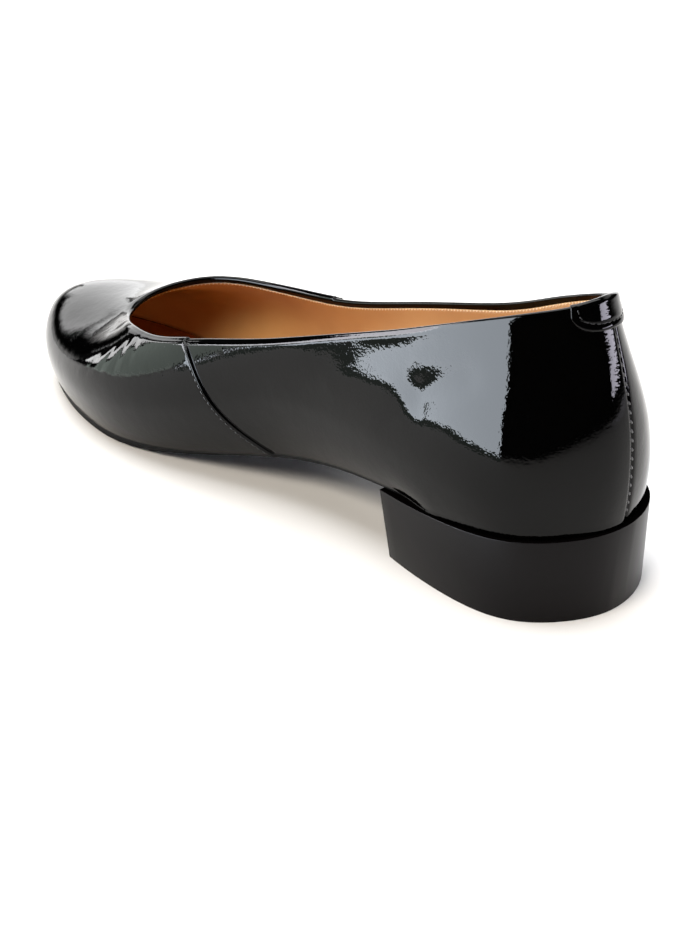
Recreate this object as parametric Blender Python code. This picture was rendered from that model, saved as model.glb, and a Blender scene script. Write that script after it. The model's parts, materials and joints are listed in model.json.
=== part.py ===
# A ballet flat for the left foot: patent leather upper on a thin sole and a low block heel.
# Metres, +Z up, +X toward the toe, +Y toward the outer side of the foot, standing on z = 0.
import math
from collections import namedtuple

import bmesh
import bpy
import numpy as np

OBJECT_NAME = "ballet_flat"

# The last: lengths and widths along the foot line, where the upper meets the sole
FOOT_LENGTH = 0.2435
HEEL_WIDTH = 0.0539
BALL_WIDTH = 0.0730

# The upper's opening, and how high it stands over the foot line at the back and at the throat
COLLAR_LENGTH = 0.1920
COLLAR_WIDTH = 0.0600
QUARTER_HEIGHT = 0.0570
THROAT_HEIGHT = 0.0320

# Leather: the wall with its lining, and what the lapped edges add to it
WALL = 0.0016
VAMP_LAP = 0.0008
BACK_LAP = 0.0006
BACK_LAP_REACH = 0.0140
LAP_EDGE = 0.0004
LAP_HOLD = 0.0022

# The side seam, as distances from the heel along the foot line
SEAM_TOP = 0.1458
SEAM_FOOT = 0.1055
SEAM_SWEEP = 0.9

# The half-round tab over the back seam
TAB_WIDTH = 0.0220
TAB_DROP = 0.0070
TAB_THICKNESS = 0.0007
TAB_BELOW_EDGE = 0.0003
TAB_ROUND = 2.4

# Heel block
HEEL_HEIGHT = 0.0238
HEEL_FALL = 0.0040
HEEL_LENGTH = 0.0605
HEEL_PROUD = 0.0034
HEEL_PROUD_FADE = 2.5
HEEL_TAPER = 0.0006
BREAST_RAKE = 0.0034

# Outsole and insole
SEAT_SOLE = 0.0012
FOREFOOT_SOLE = 0.0026
SEAT_SOLE_INSET = 0.0012
FOREFOOT_SOLE_PROUD = 0.0004
BALL_START = 0.1800
BALL_END = 0.1950
TOE_SPRING = 0.0090
TOE_SPRING_CURVE = 1.7
SHANK_END = 0.1150
INSOLE = 0.0024
INSOLE_EDGE = 0.0007

# Meshes
GAP = 0.0003
MERGE = 0.000001
WALL_ROWS = 12
LINING_ROWS = 9
LIP_STEPS = 4
QUARTER_COLUMNS = 26
VAMP_COLUMNS = 17
TAB_COLUMNS = 16
TAB_ROWS = 3
SOLE_RUNGS = 60
HEEL_RUNGS = 26

# One row for each section of the wall. along: share of the foot length. heel, ball: shares of those two
# widths that add up to the foot line's distance from the axis. top_along, top_out: the topline's place, as
# shares of the collar's length and width. rise: share of the height over the foot line. flare, lean: degrees
# from upright at the foot and at the topline. root, crown: how far each of them is felt, as shares.
Section = namedtuple("Section", "along heel ball top_along top_out rise flare lean root crown")
OUTER_SIDE = [
    Section(0.00, 0.010, 0.000, 0.042, 0.000, 1.010, 16, 16, 0.40, 0.37),
    Section(0.02, 0.270, 0.000, 0.063, 0.163, 1.000, 18, 14, 0.38, 0.38),
    Section(0.06, 0.432, 0.000, 0.125, 0.295, 0.985, 23, 13, 0.38, 0.38),
    Section(0.14, 0.488, 0.000, 0.225, 0.380, 0.940, 28, 12, 0.36, 0.36),
    Section(0.28, 0.400, 0.032, 0.368, 0.422, 0.865, 30, 14, 0.34, 0.34),
    Section(0.42, 0.240, 0.125, 0.527, 0.467, 0.855, 31, 20, 0.34, 0.34),
    Section(0.56, 0.050, 0.358, 0.660, 0.500, 0.905, 33, 30, 0.34, 0.34),
    Section(0.69, 0.000, 0.450, 0.772, 0.508, 0.930, 34, 42, 0.34, 0.36),
    Section(0.80, 0.000, 0.395, 0.853, 0.455, 0.980, 31, 52, 0.35, 0.40),
    Section(0.90, 0.000, 0.282, 0.920, 0.338, 0.960, 25, 56, 0.32, 0.41),
    Section(0.97, 0.000, 0.128, 0.975, 0.205, 0.925, 23, 61, 0.31, 0.42),
    Section(1.00, 0.000, -0.080, 1.007, 0.035, 0.970, 29, 68, 0.42, 0.46),
]
INNER_SIDE = [
    Section(0.97, 0.000, -0.286, 0.995, -0.195, 1.050, 35, 60, 0.42, 0.46),
    Section(0.90, 0.000, -0.437, 0.936, -0.372, 1.065, 36, 56, 0.37, 0.44),
    Section(0.80, 0.000, -0.527, 0.857, -0.466, 0.990, 34, 52, 0.36, 0.40),
    Section(0.69, 0.000, -0.545, 0.769, -0.495, 0.905, 34, 42, 0.34, 0.36),
    Section(0.56, -0.050, -0.397, 0.657, -0.484, 0.817, 32, 30, 0.34, 0.34),
    Section(0.42, -0.240, -0.137, 0.517, -0.466, 0.768, 30, 20, 0.34, 0.34),
    Section(0.28, -0.400, -0.031, 0.347, -0.424, 0.770, 30, 14, 0.34, 0.34),
    Section(0.14, -0.503, 0.000, 0.199, -0.374, 0.874, 27, 12, 0.36, 0.36),
    Section(0.06, -0.445, 0.000, 0.107, -0.282, 0.938, 21, 14, 0.38, 0.38),
    Section(0.02, -0.281, 0.000, 0.064, -0.153, 0.980, 19, 15, 0.38, 0.37),
]

Finish = namedtuple("Finish", "name colour roughness metallic")
PATENT = Finish("black_patent_leather", (0.010, 0.010, 0.011), 0.08, 0.0)
SATIN = Finish("black_heel_stock", (0.014, 0.012, 0.013), 0.45, 0.0)
SOLE = Finish("black_sole_rubber", (0.016, 0.015, 0.015), 0.60, 0.0)
SOCK = Finish("tan_sock_leather", (0.360, 0.200, 0.100), 0.55, 0.0)


class LoopSpline:
    """A smooth closed curve through rows of values, read at any angle round the foot."""

    def __init__(self, angles, values):
        self.angles = np.asarray(angles, dtype=float)
        self.values = np.asarray(values, dtype=float)
        count = len(self.angles)
        self.steps = np.diff(np.append(self.angles, self.angles[0] + 2 * math.pi))
        left = np.zeros((count, count))
        right = np.zeros((count, count))
        for here in range(count):
            before = (here - 1) % count
            after = (here + 1) % count
            h_before = self.steps[before]
            h_here = self.steps[here]
            left[here, before] += h_before
            left[here, here] += 2 * (h_before + h_here)
            left[here, after] += h_here
            right[here, after] += 6 / h_here
            right[here, here] -= 6 / h_here + 6 / h_before
            right[here, before] += 6 / h_before
        self.bends = np.linalg.solve(left, right @ self.values)

    def __call__(self, angle):
        angle = np.mod(np.asarray(angle, dtype=float), 2 * math.pi)
        here = np.clip(np.searchsorted(self.angles, angle, side="right") - 1, 0, len(self.angles) - 1)
        after = (here + 1) % len(self.angles)
        step = self.steps[here]
        share = ((angle - self.angles[here]) / step)[:, None]
        rest = 1 - share
        scale = (step * step / 6)[:, None]
        straight = rest * self.values[here] + share * self.values[after]
        bend = (rest**3 - rest) * self.bends[here] + (share**3 - share) * self.bends[after]
        return straight + scale * bend


def smooth_step(value):
    value = np.clip(value, 0.0, 1.0)
    return value * value * (3 - 2 * value)


def angle_at(distance):
    """The angle round the foot, 0 at the back and pi at the toe, at a distance along its axis."""
    return math.acos(1 - 2 * distance / FOOT_LENGTH)


def section_spline():
    angles = [math.acos(1 - 2 * row.along) for row in OUTER_SIDE]
    angles += [2 * math.pi - math.acos(1 - 2 * row.along) for row in INNER_SIDE]
    values = []
    for row in OUTER_SIDE + INNER_SIDE:
        side = row.heel * HEEL_WIDTH + row.ball * BALL_WIDTH
        forward = min(row.top_along, 1.0)
        height = QUARTER_HEIGHT + (THROAT_HEIGHT - QUARTER_HEIGHT) * forward
        values.append((
            side,
            row.top_along * COLLAR_LENGTH,
            row.top_out * COLLAR_WIDTH,
            row.rise * height,
            math.radians(row.flare),
            math.radians(row.lean),
            row.root,
            row.crown,
        ))
    return LoopSpline(angles, values)


SECTIONS = section_spline()


def sole_bottom(x):
    """The sole's underside: straight over the heel, a drop through the waist, flat at the ball, toe spring."""
    x = np.asarray(x, dtype=float)
    slope = -HEEL_FALL / HEEL_LENGTH
    seat = HEEL_HEIGHT + GAP + slope * x
    breast = HEEL_HEIGHT + GAP - HEEL_FALL
    run = BALL_START - HEEL_LENGTH
    share = np.clip((x - HEEL_LENGTH) / run, 0.0, 1.0)
    waist = breast * (1 - 3 * share**2 + 2 * share**3) + slope * run * (share - 2 * share**2 + share**3)
    spring_share = np.clip((x - BALL_END) / (FOOT_LENGTH - BALL_END), 0.0, 1.2)
    spring = TOE_SPRING * spring_share**TOE_SPRING_CURVE
    return np.where(x < HEEL_LENGTH, seat, np.where(x < BALL_START, waist, spring))


def forefoot_share(x):
    return smooth_step((np.asarray(x, dtype=float) - SHANK_END) / (BALL_START - SHANK_END))


def sole_top(x):
    return sole_bottom(x) + SEAT_SOLE + (FOREFOOT_SOLE - SEAT_SOLE) * forefoot_share(x)


def foot_height(x):
    return sole_top(x) + GAP


def foot_outline(angle, offset=0.0):
    """Points of the foot line seen from above, moved outwards by offset."""
    angle = np.asarray(angle, dtype=float)
    step = 1e-4
    x = FOOT_LENGTH * (1 - np.cos(angle)) / 2
    y = SECTIONS(angle)[:, 0]
    run_x = FOOT_LENGTH * np.sin(angle) / 2
    run_y = (SECTIONS(angle + step)[:, 0] - SECTIONS(angle - step)[:, 0]) / (2 * step)
    size = np.hypot(run_x, run_y)
    out = np.stack([-run_y / size, run_x / size], axis=1)
    return np.stack([x, y], axis=1) + out * np.reshape(offset, (-1, 1)), out


def wall_middle(angle, climb):
    """The last's surface: angle runs round the foot, climb from 0 at the foot line to 1 at the topline."""
    plan, out = foot_outline(angle)
    values = SECTIONS(angle)
    foot = np.column_stack([plan, foot_height(plan[:, 0])])
    top = np.column_stack([values[:, 1], values[:, 2], foot_height(values[:, 1]) + values[:, 3]])
    flare, lean, root, crown = [values[:, [column]] for column in range(4, 8)]
    out = np.column_stack([out, np.zeros(len(out))])
    up = np.array([0.0, 0.0, 1.0])
    reach = np.linalg.norm(top - foot, axis=1)[:, None]
    low = foot + (up * np.cos(flare) + out * np.sin(flare)) * root * reach
    high = top - (up * np.cos(lean) - out * np.sin(lean)) * crown * reach
    climb = np.asarray(climb, dtype=float)[:, None]
    rest = 1 - climb
    return rest**3 * foot + 3 * rest**2 * climb * low + 3 * rest * climb**2 * high + climb**3 * top


def seam_angle(station, climb):
    """Turns an even station round the foot into an angle, so that a column of faces follows each side seam."""
    outer = station <= math.pi
    half = np.where(outer, station, 2 * math.pi - station)
    top = angle_at(SEAM_TOP)
    shift = (angle_at(SEAM_FOOT) - top) * (1 - np.asarray(climb, dtype=float)) ** SEAM_SWEEP
    behind = np.cos(math.pi / 2 * np.clip((top - half) / top, 0, 1)) ** 2
    ahead = np.cos(math.pi / 2 * np.clip((half - top) / (math.pi - top), 0, 1)) ** 2
    half = half + shift * np.where(half < top, behind, ahead)
    return np.where(outer, half, 2 * math.pi - half)


def wall_surface(station, climb, lift):
    """Points lifted off the last's surface along its normal; a negative lift goes inside."""
    station = np.asarray(station, dtype=float)
    climb = np.asarray(climb, dtype=float)
    angle = seam_angle(station, climb)
    step = 1e-4
    around = wall_middle(angle + step, climb) - wall_middle(angle - step, climb)
    rising = wall_middle(angle, climb + step) - wall_middle(angle, climb - step)
    normal = np.cross(rising, around)
    normal /= np.linalg.norm(normal, axis=1)[:, None]
    rising /= np.linalg.norm(rising, axis=1)[:, None]
    return wall_middle(angle, climb) + normal * np.reshape(lift, (-1, 1)), normal, rising


def upper_stations():
    """Stations round the foot with the extra thickness that the lapped seams give each one."""
    seam = angle_at(SEAM_TOP)
    pace = FOOT_LENGTH * math.sin(seam) / 2
    edge = LAP_EDGE / 2 / pace
    hold = LAP_HOLD / pace
    back_pace = HEEL_WIDTH
    back_edge = LAP_EDGE / 2 / back_pace
    fade = BACK_LAP_REACH / back_pace
    quarter = np.linspace(0, seam - hold, QUARTER_COLUMNS)
    quarter[0] = back_edge
    quarter = np.append(quarter, seam - edge)
    vamp = np.linspace(seam + hold, math.pi, VAMP_COLUMNS)
    vamp = np.insert(vamp, 0, seam + edge)
    outer = np.append(quarter, vamp)
    inner = 2 * math.pi - outer[:-1][::-1]
    stations = np.append(outer, inner)
    half = np.where(stations <= math.pi, stations, 2 * math.pi - stations)
    extra = np.where(half > seam, VAMP_LAP, 0.0)
    back = BACK_LAP * (1 - smooth_step((half - back_edge) / fade))
    return stations, np.where(stations < math.pi, np.maximum(extra, back), extra)


def upper_sections():
    stations, extra = upper_stations()
    climbs = np.linspace(0, 1, WALL_ROWS)
    lining_climbs = np.linspace(1, 0, LINING_ROWS)
    sections = []
    for station, lift in zip(stations, extra):
        outside, normal, rising = wall_surface(np.full(WALL_ROWS, station), climbs, lift)
        inside, _, _ = wall_surface(np.full(LINING_ROWS, station), lining_climbs, -WALL)
        outside[0, 2] = foot_height(outside[0, 0])
        inside[-1, 2] = foot_height(inside[-1, 0])
        middle = (outside[-1] + inside[0]) / 2
        radius = (lift + WALL) / 2
        lip = []
        for step in range(1, LIP_STEPS):
            turn = math.pi * step / LIP_STEPS
            lip.append(middle + radius * (math.cos(turn) * normal[-1] + math.sin(turn) * rising[-1]))
        sections.append(np.vstack([outside, lip, inside]))
    return sections


def tab_sections():
    """The patch's sections, from one end of its width to the other."""
    fine = np.linspace(-0.9, 0.9, 361)
    top_points, _, _ = wall_surface(np.mod(fine, 2 * math.pi), np.ones(len(fine)), 0.0)
    travelled = np.append(0, np.cumsum(np.linalg.norm(np.diff(top_points, axis=0), axis=1)))
    travelled -= np.interp(0.0, fine, travelled)
    shares = np.sin(np.linspace(-math.pi / 2, math.pi / 2, TAB_COLUMNS)) * 0.985
    sections = []
    for share in shares:
        station = np.interp(share * TAB_WIDTH / 2, travelled, fine)
        drop = TAB_DROP * (1 - abs(share) ** TAB_ROUND) ** (1 / TAB_ROUND)
        sections.append(tab_section(station, drop))
    return sections


def tab_section(station, drop):
    climbs = np.linspace(0.6, 1, 41)
    column, _, _ = wall_surface(np.full(41, station % (2 * math.pi)), climbs, 0.0)
    below = np.linalg.norm(np.diff(column, axis=0), axis=1)[::-1].cumsum()
    below = np.append(0, below)
    drops = np.linspace(TAB_BELOW_EDGE, TAB_BELOW_EDGE + drop, TAB_ROWS)
    rows = np.interp(drops, below, climbs[::-1])
    places = np.full(TAB_ROWS, station % (2 * math.pi))
    under, _, _ = wall_surface(places, rows, BACK_LAP + GAP)
    over, _, _ = wall_surface(places, rows, BACK_LAP + GAP + TAB_THICKNESS)
    return np.vstack([over[::-1], under])


def loft(name, sections, closed):
    """Skins a row of like-numbered rings of points into one closed solid."""
    bm = bmesh.new()
    rings = [[bm.verts.new(point) for point in section] for section in sections]
    pairs = list(zip(rings, rings[1:] + rings[:1])) if closed else list(zip(rings, rings[1:]))
    for ring, following in pairs:
        for here in range(len(ring)):
            after = (here + 1) % len(ring)
            bm.faces.new((ring[here], ring[after], following[after], following[here]))
    if not closed:
        bm.faces.new(rings[0])
        bm.faces.new(rings[-1])
    bmesh.ops.remove_doubles(bm, verts=bm.verts, dist=MERGE)
    bmesh.ops.dissolve_degenerate(bm, dist=MERGE, edges=bm.edges)
    bmesh.ops.recalc_face_normals(bm, faces=bm.faces)
    mesh = bpy.data.meshes.new(name)
    bm.to_mesh(mesh)
    bm.free()
    return mesh


def rung(angle, levels):
    """One cross-section of a flat piece: each level is an offset from the foot line and a height function."""
    outer = []
    inner = []
    for offset, height in levels:
        for target, at in ((outer, angle), (inner, 2 * math.pi - angle)):
            plan, _ = foot_outline([at], offset)
            target.append((plan[0, 0], plan[0, 1], float(height(plan[0, 0]))))
    return outer + inner[::-1]


def outsole_sections():
    def section(angle):
        x = FOOT_LENGTH * (1 - math.cos(angle)) / 2
        share = float(forefoot_share(x))
        offset = -SEAT_SOLE_INSET + (FOREFOOT_SOLE_PROUD + SEAT_SOLE_INSET) * share
        return rung(angle, [(offset, sole_bottom), (offset, sole_top)])

    return [section(angle) for angle in np.linspace(0, math.pi, SOLE_RUNGS)]


def insole_sections():
    inset = -WALL - GAP

    def low(x):
        return foot_height(x)

    def shoulder(x):
        return foot_height(x) + INSOLE - INSOLE_EDGE

    def high(x):
        return foot_height(x) + INSOLE

    levels = [(inset, low), (inset, shoulder), (inset - INSOLE_EDGE, high)]
    return [rung(angle, levels) for angle in np.linspace(0, math.pi, SOLE_RUNGS)]


def heel_sections():
    end = angle_at(HEEL_LENGTH)

    def heel_top(x):
        return sole_bottom(x) - GAP

    sections = []
    for angle in np.linspace(0, end, HEEL_RUNGS):
        share = (1 - math.cos(angle)) / (1 - math.cos(end))
        proud = HEEL_PROUD * (1 - share**HEEL_PROUD_FADE)
        points = rung(angle, [(proud - HEEL_TAPER, lambda x: 0.0), (proud, heel_top)])
        rake = BREAST_RAKE * share
        sections.append([(x - rake if z == 0 else x, y, z) for x, y, z in points])
    return sections


def material(finish):
    made = bpy.data.materials.new(finish.name)
    made.use_nodes = True
    shader = made.node_tree.nodes["Principled BSDF"]
    shader.inputs["Base Color"].default_value = (*finish.colour, 1)
    shader.inputs["Roughness"].default_value = finish.roughness
    shader.inputs["Metallic"].default_value = finish.metallic
    return made


def add_piece(name, sections, closed, finish, collection, root):
    mesh = loft(name, sections, closed)
    mesh.materials.append(material(finish))
    piece = bpy.data.objects.new(name, mesh)
    collection.objects.link(piece)
    piece.parent = root
    mesh.shade_smooth()
    mesh.set_sharp_from_angle(angle=math.radians(40))
    return piece


def centre_on_floor(root, pieces):
    """Puts the middle of the shoe's box over the origin."""
    points = np.array([vertex.co for piece in pieces for vertex in piece.data.vertices])
    middle = (points.min(axis=0) + points.max(axis=0)) / 2
    root.location = (-middle[0], -middle[1], 0.0)


def main():
    for old in list(bpy.data.objects):
        bpy.data.objects.remove(old, do_unlink=True)
    collection = bpy.data.collections.new(OBJECT_NAME)
    bpy.context.scene.collection.children.link(collection)
    root = bpy.data.objects.new(OBJECT_NAME + "_root", None)
    collection.objects.link(root)
    pieces = [
        add_piece("upper", upper_sections(), True, PATENT, collection, root),
        add_piece("heel_tab", tab_sections(), False, PATENT, collection, root),
        add_piece("outsole", outsole_sections(), False, SOLE, collection, root),
        add_piece("heel", heel_sections(), False, SATIN, collection, root),
        add_piece("insole", insole_sections(), False, SOCK, collection, root),
    ]
    centre_on_floor(root, pieces)


main()
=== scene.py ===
import json
import math

import bpy
import numpy as np
from mathutils import Matrix, Vector

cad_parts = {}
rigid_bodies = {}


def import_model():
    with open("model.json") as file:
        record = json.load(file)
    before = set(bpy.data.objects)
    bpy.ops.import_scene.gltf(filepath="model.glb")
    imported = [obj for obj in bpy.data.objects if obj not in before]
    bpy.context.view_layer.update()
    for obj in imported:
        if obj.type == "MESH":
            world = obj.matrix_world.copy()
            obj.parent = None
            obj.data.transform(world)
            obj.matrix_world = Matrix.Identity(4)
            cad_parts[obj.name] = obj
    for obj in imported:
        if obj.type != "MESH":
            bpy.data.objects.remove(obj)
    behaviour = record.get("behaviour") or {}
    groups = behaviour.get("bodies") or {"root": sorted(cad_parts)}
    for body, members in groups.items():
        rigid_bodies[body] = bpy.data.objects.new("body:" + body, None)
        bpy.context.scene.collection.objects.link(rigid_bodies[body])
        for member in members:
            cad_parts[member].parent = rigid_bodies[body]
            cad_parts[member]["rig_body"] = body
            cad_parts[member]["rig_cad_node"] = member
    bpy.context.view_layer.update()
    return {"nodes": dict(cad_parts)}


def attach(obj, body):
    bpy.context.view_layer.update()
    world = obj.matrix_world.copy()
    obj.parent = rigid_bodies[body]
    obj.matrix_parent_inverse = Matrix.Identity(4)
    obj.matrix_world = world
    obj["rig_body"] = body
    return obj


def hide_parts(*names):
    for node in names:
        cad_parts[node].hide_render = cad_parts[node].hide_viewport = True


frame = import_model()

mm = 0.001
scene = bpy.context.scene


# small helpers

def hexColour(text):
    # sRGB hex to the linear values that Blender's sockets hold
    parts = [int(text[place:place + 2], 16) / 255 for place in (1, 3, 5)]
    return [part / 12.92 if part <= 0.04045 else ((part + 0.055) / 1.055) ** 2.4 for part in parts] + [1.0]


def pick(*objects):
    bpy.ops.object.select_all(action="DESELECT")
    for one in objects:
        one.select_set(True)
    bpy.context.view_layer.objects.active = objects[0]


def addNode(material, kind, settings, links=None):
    node = material.node_tree.nodes.new(kind)
    for name, value in settings.items():
        if isinstance(name, int) or name in node.inputs:
            node.inputs[name].default_value = value
        else:
            setattr(node, name, value)
    for name, source in (links or {}).items():
        material.node_tree.links.new(source, node.inputs[name])
    return node


def newMaterial(name):
    material = bpy.data.materials.new(name)
    material.use_nodes = True
    material.node_tree.nodes.clear()
    return material


def finishMaterial(material, shader):
    output = addNode(material, "ShaderNodeOutputMaterial", {})
    material.node_tree.links.new(shader.outputs["BSDF"], output.inputs["Surface"])
    return material


def wear(piece, material):
    piece.data.materials.clear()
    piece.data.materials.append(material)


def copyOfNode(nodeName, pieceName):
    # the CAD node stays as it is, and its merged copy is what gets finished
    piece = frame["nodes"][nodeName].copy()
    piece.data = piece.data.copy()
    piece.name = pieceName
    piece.data.name = pieceName
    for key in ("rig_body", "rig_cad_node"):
        del piece[key]
    piece.parent = None
    scene.collection.objects.link(piece)
    pick(piece)
    bpy.ops.object.mode_set(mode="EDIT")
    bpy.ops.mesh.select_all(action="SELECT")
    bpy.ops.mesh.remove_doubles(threshold=0.002 * mm)
    bpy.ops.mesh.customdata_custom_splitnormals_clear()
    bpy.ops.mesh.tris_convert_to_quads(face_threshold=math.radians(50), shape_threshold=math.radians(120))
    bpy.ops.object.mode_set(mode="OBJECT")
    return piece


def addModifier(piece, kind, settings):
    modifier = piece.modifiers.new(kind.lower(), kind)
    for name, value in settings.items():
        setattr(modifier, name, value)
    pick(piece)
    bpy.ops.object.modifier_apply(modifier=modifier.name)


# materials, each named for what the real one is and how its surface was made

patentLook = {
    "base": "#010101",
    "haze": "#020202",
    "rippleWidth": 9 * mm,        # slow waves in the film, which make a reflection's edge run ragged
    "rippleHeight": 0.110 * mm,
    "peelWidth": 0.75 * mm,       # orange peel of the sprayed film
    "peelHeight": 0.020 * mm,
    "grainWidth": 0.5 * mm,       # leather grain under the film, drawn a little coarse to show
    "grainHeight": 0.0006 * mm,
}


def patentLeather(name="patentLeatherLacquered"):
    # calf leather under a thick polyurethane film: black, and mirror bright with slightly wavy reflections
    look = patentLook
    material = newMaterial(name)
    place = addNode(material, "ShaderNodeTexCoord", {})
    where = place.outputs["Object"]
    ripple = addNode(material, "ShaderNodeTexNoise", {"Scale": 1 / look["rippleWidth"], "Detail": 2.0,
                     "Roughness": 0.55}, {"Vector": where})
    peel = addNode(material, "ShaderNodeTexNoise", {"Scale": 1 / look["peelWidth"], "Detail": 1.0},
                   {"Vector": where})
    grain = addNode(material, "ShaderNodeTexNoise", {"Scale": 1 / look["grainWidth"], "Detail": 2.0},
                    {"Vector": where})
    waves = addNode(material, "ShaderNodeBump", {"Strength": 1.0, "Distance": look["rippleHeight"]},
                    {"Height": ripple.outputs["Fac"]})
    film = addNode(material, "ShaderNodeBump", {"Strength": 1.0, "Distance": look["peelHeight"]},
                   {"Height": peel.outputs["Fac"], "Normal": waves.outputs["Normal"]})
    leather = addNode(material, "ShaderNodeBump", {"Strength": 1.0, "Distance": look["grainHeight"]},
                      {"Height": grain.outputs["Fac"], "Normal": film.outputs["Normal"]})
    colour = addNode(material, "ShaderNodeMix", {"data_type": "RGBA", 6: hexColour(look["base"]),
                     7: hexColour(look["haze"])}, {0: ripple.outputs["Fac"]})
    shader = addNode(material, "ShaderNodeBsdfPrincipled", {
        "Roughness": 0.35, "IOR": 1.45, "Specular IOR Level": 0.0,
        "Coat Weight": 1.0, "Coat Roughness": 0.02, "Coat IOR": 1.235,
    }, {"Base Color": colour.outputs[2], "Normal": leather.outputs["Normal"],
        "Coat Normal": film.outputs["Normal"]})
    return finishMaterial(material, shader)


liningLook = {
    "light": "#D6AC72",
    "dark": "#BC8C54",
    "grainWidth": 0.9 * mm,
    "grainHeight": 0.020 * mm,
    "patchWidth": 22 * mm,
}


def liningLeather(name, look, roughness):
    # smooth glazed sheepskin: matte, with fine pores and faint darker patches
    material = newMaterial(name)
    place = addNode(material, "ShaderNodeTexCoord", {})
    where = place.outputs["Object"]
    patches = addNode(material, "ShaderNodeTexNoise", {"Scale": 1 / look["patchWidth"], "Detail": 4.0},
                      {"Vector": where})
    pores = addNode(material, "ShaderNodeTexVoronoi", {"Scale": 1 / look["grainWidth"]}, {"Vector": where})
    colour = addNode(material, "ShaderNodeMix", {"data_type": "RGBA", 6: hexColour(look["light"]),
                     7: hexColour(look["dark"])}, {0: patches.outputs["Fac"]})
    creases = addNode(material, "ShaderNodeBump", {"Strength": 0.6, "Distance": look["grainHeight"]},
                      {"Height": pores.outputs["Distance"]})
    shader = addNode(material, "ShaderNodeBsdfPrincipled", {"Roughness": roughness, "IOR": 1.45},
                     {"Base Color": colour.outputs[2], "Normal": creases.outputs["Normal"]})
    return finishMaterial(material, shader)


sockLook = {
    "light": "#B5793F",
    "dark": "#8F5429",
    "grainWidth": 0.8 * mm,
    "grainHeight": 0.025 * mm,
    "patchWidth": 30 * mm,
}

heelLook = {
    "base": "#050304",
    "worn": "#090607",
    "sprayWidth": 1.2 * mm,
    "sprayHeight": 0.004 * mm,
    "cloudWidth": 18 * mm,
}


def satinHeel():
    # block heel sprayed with satin lacquer: near black, soft broad highlights
    look = heelLook
    material = newMaterial("heelBlockSatinLacquer")
    place = addNode(material, "ShaderNodeTexCoord", {})
    where = place.outputs["Object"]
    spray = addNode(material, "ShaderNodeTexNoise", {"Scale": 1 / look["sprayWidth"], "Detail": 3.0},
                    {"Vector": where})
    cloud = addNode(material, "ShaderNodeTexNoise", {"Scale": 1 / look["cloudWidth"], "Detail": 2.0},
                    {"Vector": where})
    colour = addNode(material, "ShaderNodeMix", {"data_type": "RGBA", 6: hexColour(look["base"]),
                     7: hexColour(look["worn"])}, {0: cloud.outputs["Fac"]})
    bump = addNode(material, "ShaderNodeBump", {"Strength": 1.0, "Distance": look["sprayHeight"]},
                   {"Height": spray.outputs["Fac"]})
    shader = addNode(material, "ShaderNodeBsdfPrincipled", {"Roughness": 0.30, "IOR": 1.5,
                     "Specular IOR Level": 0.12},
                     {"Base Color": colour.outputs[2], "Normal": bump.outputs["Normal"]})
    return finishMaterial(material, shader)


soleLook = {
    "base": "#0A0909",
    "rubbed": "#131211",
    "gritWidth": 0.9 * mm,
    "gritHeight": 0.02 * mm,
    "cloudWidth": 15 * mm,
}


def soleRubber():
    # moulded rubber sheet: dull black, fine even grit
    look = soleLook
    material = newMaterial("outsoleMouldedRubber")
    place = addNode(material, "ShaderNodeTexCoord", {})
    where = place.outputs["Object"]
    grit = addNode(material, "ShaderNodeTexVoronoi", {"Scale": 1 / look["gritWidth"]}, {"Vector": where})
    cloud = addNode(material, "ShaderNodeTexNoise", {"Scale": 1 / look["cloudWidth"], "Detail": 3.0},
                    {"Vector": where})
    colour = addNode(material, "ShaderNodeMix", {"data_type": "RGBA", 6: hexColour(look["base"]),
                     7: hexColour(look["rubbed"])}, {0: cloud.outputs["Fac"]})
    bump = addNode(material, "ShaderNodeBump", {"Strength": 0.7, "Distance": look["gritHeight"]},
                   {"Height": grit.outputs["Distance"]})
    shader = addNode(material, "ShaderNodeBsdfPrincipled", {"Roughness": 0.42, "IOR": 1.5,
                     "Specular IOR Level": 0.06},
                     {"Base Color": colour.outputs[2], "Normal": bump.outputs["Normal"]})
    return finishMaterial(material, shader)


threadLook = {
    "black": "#1A1A1C",
    "tan": "#F0DDBB",
    "twistWidth": 0.4 * mm,       # drawn coarse enough to show
    "twistHeight": 0.04 * mm,
}


def waxedThread(name, colourText, roughness):
    # twisted and waxed polyester thread
    material = newMaterial(name)
    place = addNode(material, "ShaderNodeTexCoord", {})
    twist = addNode(material, "ShaderNodeTexNoise", {"Scale": 1 / threadLook["twistWidth"], "Detail": 1.0},
                    {"Vector": place.outputs["Object"]})
    bump = addNode(material, "ShaderNodeBump", {"Strength": 0.8, "Distance": threadLook["twistHeight"]},
                   {"Height": twist.outputs["Fac"]})
    shader = addNode(material, "ShaderNodeBsdfPrincipled", {"Base Color": hexColour(colourText),
                     "Roughness": roughness, "IOR": 1.5}, {"Normal": bump.outputs["Normal"]})
    return finishMaterial(material, shader)


seatLook = {
    "base": "#050404",
    "fuzzWidth": 0.6 * mm,
    "fuzzHeight": 0.05 * mm,
}


def rawSeat():
    # top of the heel block, left rough for the glue and stained black: no shine
    look = seatLook
    material = newMaterial("heelSeatStainedRough")
    place = addNode(material, "ShaderNodeTexCoord", {})
    fuzz = addNode(material, "ShaderNodeTexNoise", {"Scale": 1 / look["fuzzWidth"], "Detail": 3.0},
                   {"Vector": place.outputs["Object"]})
    bump = addNode(material, "ShaderNodeBump", {"Strength": 0.8, "Distance": look["fuzzHeight"]},
                   {"Height": fuzz.outputs["Fac"]})
    shader = addNode(material, "ShaderNodeBsdfPrincipled", {"Base Color": hexColour(look["base"]),
                     "Roughness": 0.9, "Specular IOR Level": 0.0}, {"Normal": bump.outputs["Normal"]})
    return finishMaterial(material, shader)


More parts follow.
